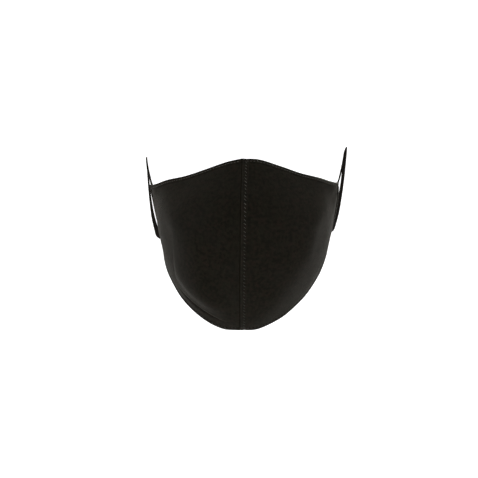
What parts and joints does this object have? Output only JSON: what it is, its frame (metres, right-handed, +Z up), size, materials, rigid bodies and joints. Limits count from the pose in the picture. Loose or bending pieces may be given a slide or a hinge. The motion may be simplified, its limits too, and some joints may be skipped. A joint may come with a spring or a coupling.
{
  "type": "cloth face mask",
  "caption": "Shaped two-ply cloth face mask with a centre seam, turned hems and flat elastic ear loops, in its worn form.",
  "frame": {"origin": "inner face of the cloth at the top of the centre seam, where the mask rests on the bridge of the nose", "axes": "+Z up, -Y out of the front of the mask, +X towards the wearer's left"},
  "size_m": [0.171, 0.1462, 0.1403],
  "materials": {
    "cloth": "matt black cotton jersey",
    "elastic": "matt black flat knitted elastic"
  },
  "bodies": {
    "root": {"right_cloth_half": "cloth", "left_cloth_half": "cloth", "right_ear_loop": "elastic", "left_ear_loop": "elastic"}
  },
  "joints": []
}
